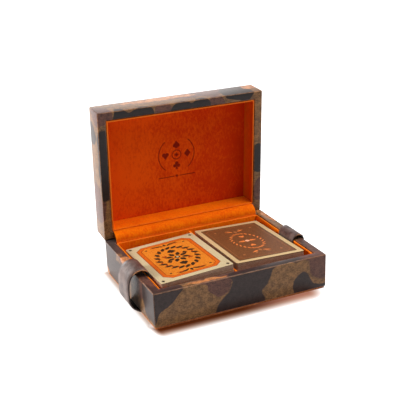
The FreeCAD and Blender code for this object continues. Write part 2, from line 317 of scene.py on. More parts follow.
def suede(name, dark, light, lean=0.0):
    """Napped suede: soft blotches where the nap lies another way, and fine fibres.

    lean paints light and shade across the suede: how much lighter it is painted at the left than in the middle,
    and darker at the right.
    """
    finish = Finish(name)
    blotch = finish.noise(16, 3.0)
    fibre = finish.noise(0.55, 4.0)
    brushed = finish.noise(1.6, 3.0, (1.0, 1.0, 0.5))
    nap = blotch * 0.3 + (fibre * 0.25 + brushed * 0.45)
    # painted light and shade: lighter at the left and darker at the right, by lean
    brightness = finish.spread(nap, 0.34, 0.66) - finish.coordinate("X") * (lean / (half_x * mm))
    colour = finish.mix(brightness, dark, light)
    colour = finish.mix(finish.attribute("pressed") * 0.9, colour, srgb(112, 8, 12))
    # lighter orange on free edges: partly wear, partly a painted highlight
    colour = finish.mix(finish.attribute("wear") * 0.45, colour, srgb(255, 140, 50))
    return finish.set(Base_Color=colour, Roughness=0.95, Specular_IOR_Level=0.05,
                      Sheen_Weight=1.0, Sheen_Roughness=0.4, Sheen_Tint=srgb(255, 190, 30),
                      Normal=finish.bump(fibre * 0.6 + brushed, 0.12, 0.5))


def strap_leather():
    finish = Finish("strap_leather_outside")
    tone = finish.noise(7, 4.0) * 0.65 + finish.noise(0.7, 3.0) * 0.35
    colour = finish.blotched(tone, 0.14, srgb(68, 52, 48), srgb(114, 95, 88))
    pores = grain(finish, 0.5)
    return finish.set(Base_Color=colour, Roughness=0.62, Normal=pores, Coat_Normal=pores,
                      Specular_IOR_Level=0.0, Coat_Weight=1.0, Coat_IOR=1.3, Coat_Roughness=0.35)


def speckled(name, size, detail, width, dark, light, relief, stretch=None, **inputs):
    """A finish whose colour and relief follow one fine noise."""
    finish = Finish(name)
    speck = finish.noise(size, detail, stretch)
    return finish.set(Base_Color=finish.blotched(speck, width, dark, light),
                      Normal=finish.bump(speck, relief), **inputs)


def raw_edge():
    """Cut edge of the strap: dark as painted shade, and tan as a painted highlight on top of the slack loop."""
    finish = Finish("strap_leather_edge")
    layers = finish.noise(0.4, 3.0, (1.0, 0.3, 1.0))
    shade = finish.spread(layers, 0.35, 0.65)
    # painted highlight: tan only where the slack loop's top catches the light
    painted_highlight_top = finish.spread(finish.coordinate("Z"), 33.5 * mm, 36.5 * mm)
    colour = finish.mix(painted_highlight_top, finish.mix(shade, srgb(40, 32, 30), srgb(76, 62, 56)),
                        finish.mix(shade, srgb(186, 118, 72), srgb(236, 170, 116)))
    return finish.set(Base_Color=colour, Roughness=0.7, Normal=finish.bump(layers, 0.06))


def brass():
    finish = Finish("drawn_brass")
    lines = finish.noise(0.5, 4.0, (0.06, 1.0, 1.0))
    colour = finish.blotched(lines, 0.15, srgb(170, 130, 76), srgb(206, 166, 108))
    roughness = finish.add("MapRange", {"Value": lines, "To Min": 0.28, "To Max": 0.48})
    return finish.set(Base_Color=colour, Roughness=roughness, Metallic=1.0,
                      Normal=finish.bump(lines, 0.01))


def printed(name, colour, deeper):
    """Ink on coated card: a linen-finish sheen and a slightly uneven ink."""
    finish = Finish(name)
    ink = finish.noise(0.7, 4.0)
    weave = finish.add("TexVoronoi", {"Vector": finish.where, "Scale": 1 / (0.6 * mm)},
                       output="Distance", feature="F1")
    return finish.set(Base_Color=finish.blotched(ink, 0.15, deeper, colour), Roughness=0.5,
                      Normal=finish.bump(weave, 0.006), Specular_IOR_Level=0.2)


# ---- mesh building ----
def loft(loops, wrap=False):
    """Joins closed loops of points; wrap joins the last to the first, else both ends are capped."""
    count = len(loops[0])
    points = [tuple(p) for loop in loops for p in loop]
    faces = []
    for i in range(len(loops) if wrap else len(loops) - 1):
        low = i * count
        high = (i + 1) % len(loops) * count
        faces += [(low + j, low + (j + 1) % count, high + (j + 1) % count, high + j)
                  for j in range(count)]
    if not wrap:
        faces += [tuple(reversed(range(count))), tuple(range(len(points) - count, len(points)))]
    return points, faces


def show(name, data):
    """A new object of the scene."""
    shown = bpy.data.objects.new(name, data)
    bpy.context.scene.collection.objects.link(shown)
    return shown


def make(name, points, faces, finishes, body, zones=None, sharp=sharp_edge, **attributes):
    """A mesh piece, given in millimetres, that rides on a body; attributes are values by point."""
    mesh = bpy.data.meshes.new(name)
    mesh.from_pydata([tuple(c * mm for c in p) for p in points], [], faces, shade_flat=False)
    for finish in finishes:
        mesh.materials.append(finish)
    if zones is not None:
        mesh.polygons.foreach_set("material_index", zones)
    for key, values in attributes.items():
        mesh.attributes.new(key, "FLOAT", "POINT").data.foreach_set("value", values)
    mesh.update()
    mesh.set_sharp_from_angle(angle=radians(sharp))
    shown = show(name, mesh)
    face_outwards(mesh)
    if body is not None:
        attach(shown, body)
    return shown


def face_outwards(mesh):
    shell = bmesh.new()
    shell.from_mesh(mesh)
    bmesh.ops.recalc_face_normals(shell, faces=shell.faces)
    shell.to_mesh(mesh)
    shell.free()


def opened(points):
    """Points of the shut lid turned back about the hinge axis."""
    turned = Matrix.Rotation(-lid_open, 3, "X")
    return [tuple(turned @ Vector(np.array(p) - axis_place) + Vector(axis_place)) for p in points]


def rounded_loop(across, along, radius, steps=6):
    """A rectangle of these half sizes with round corners, as (x, y) anticlockwise."""
    loop = []
    for quarter, (side_x, side_y) in enumerate(((1, 1), (-1, 1), (-1, -1), (1, -1))):
        for step in range(steps + 1):
            angle = radians(90 * quarter + 90 * step / steps)
            loop.append((side_x * (across - radius) + radius * cos(angle),
                         side_y * (along - radius) + radius * sin(angle)))
    return loop


def arc(centre, radius, start, end, steps=5):
    """Points of an arc in the section plane, angles in degrees from inset towards z."""
    angles = [radians(start + (end - start) * i / steps) for i in range(steps + 1)]
    return [(centre[0] + radius * cos(a), centre[1] + radius * sin(a)) for a in angles]


def wrapped(section):
    """Loops round the box for a section of its skin, with a seam at each corner.

    Each mark is (inset, z, share of wear and painted highlight, inset behind, z behind), and the last two hold on
    the rear wall.
    Returns the loops with their shares of wear and painted highlight, and their seam shares.
    """
    loops, wear, seams = [], [], []
    middle = corner_steps // 2
    for inset, rounded_z, worn_and_lit, tight_inset, tight_z in section:
        loop, tight = (rounded_loop(half_x - depth, half_y - depth, max(corner_round - depth, 0.35),
                                    corner_steps) for depth in (inset, tight_inset))
        outside = inset < leather * 0.9
        for i, (x, y) in enumerate(loop):
            share = min(max((y - half_y + 6.0) / 4.0, 0.0), 1.0)
            x += (tight[i][0] - x) * share
            y += (tight[i][1] - y) * share
            z = rounded_z + (tight_z - rounded_z) * share
            step = i % (corner_steps + 1)
            at_seam = float(step == middle)
            pull = groove_depth * at_seam if outside else 0.0
            loop[i] = (x - copysign(pull, x), y - copysign(pull, y), z)
            beside_seam = corner_wear if outside and abs(step - middle) == 1 else 0.0
            uneven = 0.75 + 0.25 * noise.noise(Vector((x, y, z)) * 0.15)
            wear.append(max(worn_and_lit * uneven, beside_seam))
            seams.append(at_seam * (1.0 if outside else 0.35))
        loops.append(loop)
    return loops, wear, seams


def hinge_windows(z, up):
    """Blocks through the leather of the rear rim at height z, one at each hinge."""
    heights = sorted((z - up * (leather + window_overcut), z + up * window_past_rim))
    y0 = half_y - leather - window_depth
    y1 = half_y + window_past_wall
    blocks = []
    for middle in (-hinge_x, hinge_x):
        x0 = middle - hinge_window / 2
        x1 = middle + hinge_window / 2
        blocks.append(loft([[(x0, y0, z), (x1, y0, z), (x1, y1, z), (x0, y1, z)] for z in heights]))
    return blocks


def same_behind(section):
    """Section marks that keep their place along the rear wall."""
    return [(inset, z, worn_and_lit, inset, z) for inset, z, worn_and_lit in section]


def rubbed_and_lit(section, peak):
    """Section points with a share of wear and painted highlight that is highest in their middle and 0 at both
    ends.
    """
    last = len(section) - 1
    return [(inset, z, peak * sin(pi * i / last)) for i, (inset, z) in enumerate(section)]


def rim_section(z, up):
    """Section over a rim at height z and down inside it; up is 1 on the base and -1 on the lid."""
    r, t = rim_round, rear_round
    turned = 180 - up * 90
    front = rubbed_and_lit(arc((r, z - up * r), r, 180, turned), 1.0)
    behind = arc((t, z + up * (rear_crest - t)), t, 180, turned)
    section = [(*mark, *rear) for mark, rear in zip(front, behind)]
    section += [(wall / 2, z + up * rim_crown, 0, wall / 2, z)]
    section += same_behind(rubbed_and_lit(arc((wall - r, z - up * r), r, up * 90, 0), 0.6))
    inner = [(wall, turn_in), (wall - leather, turn_in), (wall - leather, leather),
             (leather, leather)]
    return section + same_behind([(inset, z - up * depth, 0) for inset, depth in inner])


def leather_cover(body, outer, z, up, inner, finish):
    """A body's leather skin, through outer marks, over its rim at height z, then inner marks."""
    loops, wear, seams = wrapped(same_behind(outer) + rim_section(z, up) + same_behind(inner))
    points, faces = loft(loops, wrap=up > 0)
    windows = hinge_windows(z, up)
    if up < 0:
        points = opened(points)
        windows = [(opened(p), f) for p, f in windows]
    shown = make(f"{body}_cover", points, faces, [finish], None, wear=wear, seam=seams)
    cutters = [make(f"{body}_cover_window_{i}", *window, [finish], None)
               for i, window in enumerate(windows)]
    for cutter in cutters:
        cut = shown.modifiers.new("window", "BOOLEAN")
        cut.operation = "DIFFERENCE"
        cut.object = cutter
        cut.solver = "EXACT"
    bpy.context.view_layer.update()
    graph = bpy.context.evaluated_depsgraph_get()
    shown.data = bpy.data.meshes.new_from_object(shown.evaluated_get(graph))
    shown.modifiers.clear()
    for cutter in cutters:
        bpy.data.objects.remove(cutter)
    shown.data.set_sharp_from_angle(angle=radians(sharp_edge))
    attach(shown, body)
    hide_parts(f"{body}_leather_cover")


def base_cover():
    """Leather round the base, over its rim and turned in inside and below."""
    r = rim_round
    outer = [(turn_in, underside_z, 0), (r, underside_z, 0)]
    outer += rubbed_and_lit(arc((r, underside_z + r), r, 270, 180), 0.3) + [(0, rim_z / 2, 0)]
    inner = [(leather, underside_z + leather, 0), (turn_in, underside_z + leather, 0)]
    leather_cover("base", outer, rim_z, 1, inner, base_leather)


def lid_cover():
    """Leather over the top and sides of the lid, round its rim and turned in."""
    top = lid_top_round
    outer = [(top + lid_top_border, lid_top_z, 0)]
    outer += rubbed_and_lit(arc((top, lid_top_z - top), top, 90, 180, 6), 1.0)
    outer += [(0, (lid_top_z + lid_z) / 2, 0)]
    inner = [(leather, lid_top_z - leather - lid_board, 0), (leather, lid_top_z - leather, 0)]
    leather_cover("lid", outer, lid_z, -1, inner, lid_leather)


def soft_block(low, high):
    """A block whose edges are rounded by board_ease, as points and faces."""
    low, high = Vector(low), Vector(high)
    shell = bmesh.new()
    place = Matrix.LocRotScale((low + high) / 2, None, high - low)
    bmesh.ops.create_cube(shell, size=1.0, matrix=place)
    bmesh.ops.bevel(shell, geom=shell.edges[:], offset=board_ease, segments=3, profile=0.5,
                    affect="EDGES")
    points = [tuple(v.co) for v in shell.verts]
    shell.verts.index_update()
    faces = [tuple(v.index for v in f.verts) for f in shell.faces]
    shell.free()
    return points, faces


def suede_board(node, low, high, body, free_edge, finish):
    """A suede-covered board that replaces a CAD node, with wear and a painted highlight at its free edge's height,
    if any.
    """
    points, faces = soft_block(low, high)
    wear = [1.0 if free_edge is not None and abs(p[2] - free_edge) < board_ease * 0.8 else 0.0
            for p in points]
    if body == "lid":
        points = opened(points)
    shown = make(node + "_suede", points, faces, [finish], body, wear=wear)
    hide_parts(node)


def base_linings():
    liners = [f"base_{side}_liner" for side in ("front", "back", "left", "right")]
    for node in liners + ["well_divider", "well_floor_panel"]:
        low, high = limits(node)
        free_edge = None if node == "well_floor_panel" else high[2]
        suede_board(node, low, high, "base", free_edge, orange_suede)


def lid_linings():
    """The four liners of the lid, laid out as if it were shut."""
    across = half_x - lined_wall
    along = half_y - lined_wall
    wide = across + liner
    deep = along + liner
    spans = {"front": ((-wide, -deep), (wide, -along)), "back": ((-wide, along), (wide, deep)),
             "left": ((-wide, -along), (-across, along)),
             "right": ((across, -along), (wide, along))}
    edge = lid_z + lid_liner_drop
    # the back liner gets the lit copy of the suede, the others the darker copy with painted shade
    for side, (low, high) in spans.items():
        suede_board(f"lid_{side}_liner", (*low, edge), (*high, lid_z + lid_depth), "lid", edge,
                    orange_suede if side == "back" else painted_shade_suede)


# ---- the crest pressed into the lid's panel: four suits round a star, two arcs and a rule ----
def ball(x, y, radius):
    return hypot(x, y) - radius


def slab(x, y, half_width, half_height):
    return max(abs(x) - half_width, abs(y) - half_height)


def wedge(x, y, half_width, height):
    """A triangle standing on y = 0 with its point up."""
    return max(-y, (abs(x) * height + (y - height) * half_width) / hypot(height, half_width))


def diamond(x, y):
    return (abs(x) * 1.3 + abs(y) - 3.4) / 1.64


def heart(x, y):
    lobes = min(ball(x - 1.25, y - 0.9, 1.5), ball(x + 1.25, y - 0.9, 1.5))
    return min(lobes, wedge(x, 0.55 - y, 2.55, 3.6))


def spade(x, y):
    return min(heart(x, -y - 0.2), wedge(x, y + 3.3, 1.1, 2.4))


def club(x, y):
    leaves = min(ball(x - 1.5, y + 0.5, 1.35), ball(x + 1.5, y + 0.5, 1.35),
                 ball(x, y - 1.6, 1.35))
    return min(leaves, wedge(x, y + 3.3, 1.1, 2.8), slab(x, y, 0.9, 0.9))


def crest(x, y):
    """Distance in millimetres from the crest's outline, negative inside it."""
    suits = min(spade(x, y - 9.5), club(x, y + 7.5), heart(x + 9.0, y - 1.0),
                diamond(x - 9.0, y - 1.0))
    ring = abs(ball(x, y - 1.0, 3.6)) - 0.35
    star = (abs(x) ** 0.62 + abs(y - 1.0) ** 0.62 - 2.3 ** 0.62) * 1.1
    bow = abs(ball(x, y - 1.0, 14.6)) - 0.32
    bow = max(bow, 6.2 - abs(x), abs(y - 1.0) - 11.2)
    rule = min(slab(abs(x) - 8.6, y + 16.4, 6.4, 0.3), (abs(x) + abs(y + 16.4) - 1.3) / 1.41)
    return min(suits, ring, star, bow, rule)


def close_below(points, faces, rim, lower):
    """Closes a sheet with sides from its rim to these lower points and one face between them."""
    start, count = len(points), len(rim)
    points += lower
    faces += [(rim[i], rim[(i + 1) % count], start + (i + 1) % count, start + i)
              for i in range(count)]
    faces.append(tuple(range(start, start + count)))


def lid_panel_suede():
    """The lid's suede panel, gently uneven, with the crest pressed into it."""
    across = half_x - wall + leather
    along = half_y - wall + leather
    face_z = lid_z + lid_depth

    def stations(reach, fine):
        outer = np.linspace(fine, reach, 20)
        inner = np.linspace(-fine, fine, int(2 * fine / crest_pitch) + 1)
        return np.concatenate([-outer[::-1], inner[1:-1], outer])
    xs = stations(across, crest_reach_x)
    ys = stations(along, crest_reach_y)
    points, pressed = [], []
    for y in ys:
        for x in xs:
            on_face = min(across - abs(x), along - abs(y)) > 1
            share = 0.0
            if on_face and abs(x) < crest_reach_x and abs(y) < crest_reach_y:
                reach = crest(x / crest_scale, (-y - crest_rise) / crest_scale) * crest_scale
                share = min(max(0.5 - reach / crest_slope, 0.0), 1.0)
                share = share * share * (3 - 2 * share)
            wave = 0.12 * noise.noise(Vector((x * 0.05, y * 0.05, 3.0)))
            points.append((x, y, face_z + (wave + share * crest_depth if on_face else 0.0)))
            pressed.append(share)
    rows = np.arange(len(points)).reshape(len(ys), len(xs)).tolist()
    faces = [(low[c], low[c + 1], high[c + 1], high[c])
             for low, high in zip(rows, rows[1:]) for c in range(len(xs) - 1)]
    rim = (rows[0] + [row[-1] for row in rows[1:]] + rows[-1][-2::-1]
           + [row[0] for row in rows[-2:0:-1]])
    pressed += [0.0] * len(rim)
    close_below(points, faces, rim, [(*points[i][:2], face_z + lid_panel) for i in rim])
    shown = make("lid_panel_suede", opened(points), faces, [painted_shade_suede], "lid", sharp=50,
                 pressed=pressed)
    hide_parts("lid_top_liner")


def outward(line, i):
    """Unit vector across a section's line at its point i, to the left of its way."""
    along = line[min(i + 1, len(line) - 1)] - line[max(i - 1, 0)]
    along = along / np.linalg.norm(along)
    return np.array((-along[1], along[0]))


def hinge_roll():
    """Suede strip over the hinges, from behind the base's back liner to behind the lid's."""
    behind = half_y - wall - liner_gap / 2
    angles = [radians(180 - 95 * step / 12) for step in range(13)]
    outline = [(behind, rim_z - 4.0), (behind - 0.15, rim_z - 1.4)]
    outline += [(behind + wall * (0.9 + 0.92 * cos(a)), rim_z + 0.9 + wall * 0.93 * sin(a))
                for a in angles]
    outline += [(lid_end_y - 2.2, lid_end_z - 0.15), (lid_end_y, lid_end_z)]
    outline = [np.array(mark) for mark in outline]
    last = len(outline) - 1
    there_and_back = [(i, 1) for i in range(last + 1)] + [(i, -1) for i in range(last, -1, -1)]
    loops, wear = [], []
    for x in np.linspace(-roll_reach, roll_reach, 71):
        end = max(0.0, abs(x) - roll_reach + roll_end) / roll_end
        loop = []
        for i, side in there_and_back:
            share = sin(pi * i / last)
            wave = share * (0.22 * noise.noise(Vector((x * 0.07, i * 0.25, 1.0)))
                            + 0.1 * noise.noise(Vector((x * 0.3, i * 0.5, 5.0))))
            lift = wave - share * 0.5 * end * end + (0.0 if side > 0 else -roll_thickness)
            loop.append((x, *(outline[i] + outward(outline, i) * lift)))
            # wear and a painted highlight along the roll's lower edge
            wear.append(0.5 if side > 0 and 1 <= i <= 2 else 0.0)
        loops.append(loop)
    shown = make("hinge_roll", *loft(loops), [orange_suede], None, sharp=60, wear=wear)
    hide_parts("hinge_cover_strip")
    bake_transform(shown)


# ---- decks ----
def lie_of(lie):
    """Rotation and place of a deck whose bounding box is that of its CAD nodes."""
    turned = (Matrix.Rotation(radians(lie["turn"]), 3, "Z")
              @ Matrix.Rotation(radians(lie["side"] * lie["inner_up"]), 3, "Y")
              @ Matrix.Rotation(radians(-lie["front_up"]), 3, "X"))
    outline = rounded_loop(card_width / 2, card_length / 2, card_corner)
    corners = np.array([turned @ Vector((x, y, z)) for z in (0, deck_height) for x, y in outline])
    low = np.min([limits(lie["body"] + part)[0] for part in ("_cards", "_top_card")], axis=0)
    return turned, low - corners.min(axis=0)


def placed(points, lie):
    turned, place = lie_of(lie)
    return [tuple(np.array(turned @ Vector(p)) + place) for p in points]


def moved(outline, x, y, angle=0.0, size=1.0):
    """An outline scaled, turned by angle and then moved to x, y."""
    across = size * cos(angle)
    up = size * sin(angle)
    return [(x + a * across - b * up, y + a * up + b * across) for a, b in outline]


def card_stack(lie):
    """The cards under the top one, each a little out of line with its neighbours."""
    dice = random.Random(7 + lie["side"])
    count = round((deck_height - card_thickness) / card_thickness)
    thickness = (deck_height - card_thickness) / count
    outline = rounded_loop(card_width / 2 - stack_inset, card_length / 2 - stack_inset, card_corner)
    points, faces = [], []
    x = y = 0.0
    for i in range(count):
        x = 0.8 * x + dice.uniform(-0.1, 0.1)
        y = 0.8 * y + dice.uniform(-0.12, 0.12)
        loop = moved(outline, x, y, radians(dice.uniform(-0.12, 0.12)))
        heights = (i * thickness + card_gap, (i + 1) * thickness - card_gap)
        card_points, card_faces = loft([[(*mark, h) for mark in loop] for h in heights])
        faces += [tuple(k + len(points) for k in f) for f in card_faces]
        points += card_points
    body = lie["body"]
    shown = make(body + "_stack", placed(points, lie), faces, [card_sides], body)
    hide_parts(body + "_cards")


def leaf(x, y, angle, length, width):
    """Outline of a leaf from its stalk, pointing along angle in degrees."""
    shares = [step / 6 for step in range(7)]
    upper = [(share * length, width / 2 * sin(pi * share ** 0.8)) for share in shares]
    lower = [(a, -b) for a, b in upper[5:0:-1]]
    return moved(upper + lower, x, y, radians(angle))


def disc(x, y, radius, steps=16):
    angles = [2 * pi * i / steps for i in range(steps)]
    return [(x + radius * cos(a), y + radius * sin(a)) for a in angles]


def anticlockwise(outline):
    following = outline[1:] + outline[:1]
    twice_area = sum(a[0] * b[1] - b[0] * a[1] for a, b in zip(outline, following))
    return outline if twice_area > 0 else outline[::-1]


def both_ways(shapes):
    """The shapes and the same turned half round, as a card's back reads from either end."""
    return shapes + [(ink, [(-x, -y) for x, y in outline]) for ink, outline in shapes]


def printed_card(lie, shapes, inks, slot):
    """The top card, its back laid out as flat shapes; a later shape covers an earlier one."""
    outline = rounded_loop(card_width / 2, card_length / 2, card_corner)
    shapes = [("paper", outline)] + shapes
    corners, loops = [], []
    for _, shape in shapes:
        loops.append(list(range(len(corners), len(corners) + len(shape))))
        corners += [Vector(p) for p in anticlockwise(shape)]
    flat, _, triangles, origins, _, covers = geometry.delaunay_2d_cdt(corners, [], loops, 1, 1e-5)
    points = [(p.x, p.y, deck_height) for p in flat]
    order = {source: i for i, sources in enumerate(origins) for source in sources}
    names = list(inks)
    faces = [tuple(t) for t in triangles]
    zones = [names.index(shapes[max(cover)][0]) for cover in covers]
    close_below(points, faces, [order[i] for i in loops[0]],
                [(x, y, deck_height - card_thickness + top_card_gap) for x, y in outline])
    zones += [names.index("edge")] * (len(outline) + 1)
    body = lie["body"]
    shown = make(body + "_top", placed(points, lie), faces, list(inks.values()), body, zones=zones)
    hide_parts(body + "_top_card")


def cut_corners(across, along, cut):
    """A rectangle with its corners cut off."""
    half = [(across, cut - along), (across, along - cut), (across - cut, along),
            (cut - across, along)]
    return half + [(-x, -y) for x, y in half]


def pip(ink, suit, x, y, size):
    """Shapes of a card suit's mark, size high, in printing order."""
    angles = [2 * pi * (i + 0.5) / 20 for i in range(20)]
    bulb = [(0.5 * sin(t) ** 3, 0.44 * cos(t) - 0.17 * cos(2 * t) - 0.07 * cos(3 * t))
            for t in angles]
    stalk = [(-0.2, -0.52), (0.2, -0.52), (0.05, -0.05), (-0.05, -0.05)]
    parts = {
        "diamond": [[(0, 0.5), (-0.36, 0), (0, -0.5), (0.36, 0)]],
        "heart": [bulb],
        "spade": [[(a, -b) for a, b in bulb], stalk],
        "club": [disc(a, b, 0.24) for a, b in ((-0.24, -0.04), (0.24, -0.04), (0, 0.28))] + [stalk],
    }
    return [(ink, moved(part, x, y, size=size)) for part in parts[suit]]


def wreath(ink, count, reach_x, reach_y, length, width, lean):
    """Leaves round an oval, each leaning by so many degrees from the way out."""
    shapes = []
    for i in range(count):
        angle = 2 * pi * (i + 0.5) / count
        x = reach_x * cos(angle)
        y = reach_y * sin(angle)
        out = degrees(atan2(y * reach_x, x * reach_y))
        shapes.append((ink, leaf(x, y, out + lean, length, width)))
    return shapes


def sprig(side, leaves):
    """Leaves at one side of the card's middle line, as (ink, x, y, lean, length, width)."""
    return [(ink, leaf(side * x, y, 90 - side * lean, length, width))
            for ink, x, y, lean, length, width in leaves]


def orange_back():
    shapes = [("deep", cut_corners(25.6, 38.6, 6.2)), ("band", cut_corners(24.9, 37.9, 5.9)),
              ("deep", cut_corners(22.2, 35.2, 4.8)), ("field", cut_corners(21.7, 34.7, 4.6))]
    shapes += wreath("deep", 22, 14.8, 21.8, 5.4, 1.7, 55)
    shapes += wreath("dark", 20, 14.0, 21.0, 7.6, 3.5, -48)
    shapes += wreath("dark", 8, 3.6, 3.6, 7.6, 4.0, 0)
    shapes += [("dark", disc(0, 0, 2.5)), ("paper", disc(0, 0, 1.2))]
    half = pip("dark", "spade", 0, 15.2, 7.4)
    for side in (1, -1):
        half += sprig(side, [("dark", 3.4, 30.6, 74, 9.6, 2.6), ("dark", 1.6, 28.9, 48, 7.0, 2.3),
                             ("deep", 6.0, 31.6, 96, 8.0, 1.6)])
        half += pip("dark", "diamond", side * 28.4, 40.2, 4.4)
        half.append(("dark", disc(side * 17.6, 29.6, 1.1)))
    half += [("dark", disc(0, 30.9, 1.5)), ("dark", leaf(0, 31.0, 90, 3.4, 2.0))]
    flank = pip("dark", "club", 9.2, 6.4, 4.6) + pip("deep", "heart", -9.2, 6.4, 4.4)
    return shapes + both_ways(half + flank)


def brown_back():
    shapes = [("rim", cut_corners(27.4, 40.1, 0.8)), ("field", cut_corners(26.8, 39.5, 0.7)),
              ("line", cut_corners(24.4, 37.1, 3.4)), ("field", cut_corners(24.05, 36.75, 3.3))]
    shapes += wreath("copper", 24, 11.6, 18.0, 4.4, 1.5, 62)
    shapes += wreath("copper", 4, 0.0, 0.0, 9.0, 3.2, 0)
    shapes += wreath("copper", 8, 0.0, 0.0, 5.6, 2.0, 0)
    shapes += [("field", disc(0, 0, 2.7)), ("glint", disc(0, 0, 2.1))]
    half = pip("copper", "heart", 0, 11.4, 5.0) + pip("line", "diamond", 0, 24.6, 5.2)
    for side in (1, -1):
        half += sprig(side, [("copper", 2.2, 25.0, 66, 7.6, 1.9),
                             ("line", 3.6, 27.4, 44, 5.4, 1.3)])
        half.append(("line", disc(side * 17.6, 29.6, 1.2)))
    return shapes + both_ways(half)


def decks():
    # the top card's sides are darker: a painted shadow under its edge
    painted_shadow_edge = printed("top_card_painted_shadow_edge", srgb(112, 72, 50), srgb(84, 52, 36))
    tones = {
        "orange": {
            "paper": ("card_cream", (200, 184, 146), (184, 166, 128)),
            "field": ("amber_ink", (220, 136, 42), (194, 100, 22)),
            "band": ("orange_band_ink", (214, 104, 24), (184, 78, 14)),
            "deep": ("deep_orange_ink", (160, 62, 12), (132, 48, 10)),
            "dark": ("dark_ink", (50, 42, 26), (26, 22, 14))},
        "brown": {
            "paper": ("card_cream_aged", (210, 182, 134), (194, 164, 116)),
            "rim": ("brown_rim_ink", (74, 42, 24), (62, 36, 20)),
            "field": ("brown_ink", (128, 80, 44), (92, 54, 30)),
            "line": ("copper_line_ink", (176, 112, 66), (150, 90, 50)),
            "copper": ("copper_ink", (244, 140, 70), (214, 108, 46)),
            "glint": ("pale_copper_ink", (250, 190, 150), (226, 150, 110))}}
    for lie, art, tone in ((left_deck, orange_back, "orange"), (right_deck, brown_back, "brown")):
        inks = {ink: printed(name, srgb(*colour), srgb(*deeper))
                for ink, (name, colour, deeper) in tones[tone].items()}
        inks["edge"] = painted_shadow_edge
        card_stack(lie)
        printed_card(lie, art(), inks, tone + "_card_back")


# ---- pull straps ----
def smooth_line(marks, steps=8):
    """A curve through the marks, sampled evenly between each pair (Catmull-Rom)."""
    ends = [2 * marks[0] - marks[1]] + list(marks) + [2 * marks[-1] - marks[-2]]
    line = []
    for before, first, last, after in zip(ends, ends[1:], ends[2:], ends[3:]):
        for step in range(steps):
            t = step / steps
            line.append(0.5 * (2 * first + (last - before) * t
                               + (2 * before - 5 * first + 4 * last - after) * t * t
                               + (3 * first - before - 3 * last + after) * t ** 3))
    line.append(marks[-1])
    return line


def strap_marks(lie):
    """Marks of the strap's middle line as (inset from the box's side, z)."""
    turned, place = lie_of(lie)
    fold = lined_wall + well_width - strap_thickness
    x = lie["side"] * (half_x - fold)
    y = lie["strap_y"] + strap_width / 2
    up = turned @ Vector((0, 0, 1))
    under_deck = place[2] - (up.x * (x - place[0]) + up.y * (y - place[1])) / up.z
    high = under_deck - strap_gap - strap_thickness / 2
    low = floor_z + strap_thickness / 2
    tail = [(9.95, 22.0), (9.95, 14.6), (10.6, 11.8), (12.6, low),
            (26.0, low + (high - low) * 0.2), (fold - 2.2, high), (fold - 0.4, (low + high) / 2),
            (fold - 2.2, low), (fold - 12.0, low)]
    return [np.array(p) for p in lie["route"] + tail]


def strap_piece(name, line, lie, first, last):
    """A stretch of the strap as a closed ribbon: grain side out, flesh side in, raw edges."""
    half = strap_width / 2
    t = strap_thickness / 2
    e = strap_edge_round
    section = [(-half, -t + e), (-half, t - e), (-half + e, t), (-half * 0.6, t), (0, t),
               (half * 0.6, t), (half - e, t), (half, t - e), (half, -t + e), (half - e, -t),
               (0, -t), (-half + e, -t)]
    grain_side, flesh, edge = 0, 1, 2
    kinds = [edge] + [grain_side] * 6 + [edge] + [flesh] * 4
    loops = []
    for i in range(first, last + 1):
        out = outward(line, i)
        loop = []
        for across, thick in section:
            inset, z = line[i] + out * thick
            loop.append((lie["side"] * (half_x - inset), lie["strap_y"] + across, z))
        loops.append(loop)
    zones = kinds * (len(loops) - 1) + [edge] * 2
    shown = make(name, *loft(loops), [strap_outside, strap_inside, strap_edge], "base",
                 zones=zones, sharp=50)
    return shown


def pull_straps():
    """Each strap in three pieces, the arch over the rim with a mesh of its own."""
    for lie, side in ((left_deck, "left"), (right_deck, "right")):
        line = smooth_line(strap_marks(lie))
        rim = [i for i in range(1, len(line))
               if (line[i - 1][1] - rim_z) * (line[i][1] - rim_z) < 0]
        for i in rim[:2]:
            share = (rim_z - line[i - 1][1]) / (line[i][1] - line[i - 1][1])
            line[i] = line[i - 1] + (line[i] - line[i - 1]) * share
        stretches = {"loop": (0, rim[0]), "arch": (rim[0], rim[1]), "tail": (rim[1], len(line) - 1)}
        for part, spans in stretches.items():
            shown = strap_piece(f"strap_{side}_{part}", line, lie, *spans)
            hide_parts(f"pull_strap_{side}")
            if part == "arch":
                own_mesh(shown)


# ---- camera, lights, floor ----
camera_place = (-271.98, -601.62, 323.55)
camera_azimuth = radians(-24.094)
camera_elevation = radians(21.166)
camera_roll = radians(-1.997)
focal_length_px = 834.4
image_px = 416
# shadow_reach, shadow_right, shadow_left and contact_reach set where the shadow painted into the floor reaches and
# ends, in millimetres
shadow_reach = 18.0
shadow_right = 58.0
sensor = 36.0
shadow_left = 4.0  # from the base's left side
contact_reach = 5.5
floor_reach = 6.0  # metres
floor_white = (0.8, 0.8, 0.8, 1)
diffuse_level = 0.26  # of the white world, for diffuse and glossy rays
glossy_level = 0.5


def make_camera():
    data = bpy.data.cameras.new("camera")
    data.sensor_width = sensor
    data.lens = focal_length_px / image_px * sensor
    data.clip_start = 0.05
    data.clip_end = 20
    camera = show("camera", data)
    camera.matrix_world = (Matrix.Translation(Vector(camera_place) * mm)
                           @ Matrix.Rotation(camera_azimuth, 4, "Z")
                           @ Matrix.Rotation(pi / 2 - camera_elevation, 4, "X")
                           @ Matrix.Rotation(camera_roll, 4, "Z"))
    bpy.context.scene.camera = camera


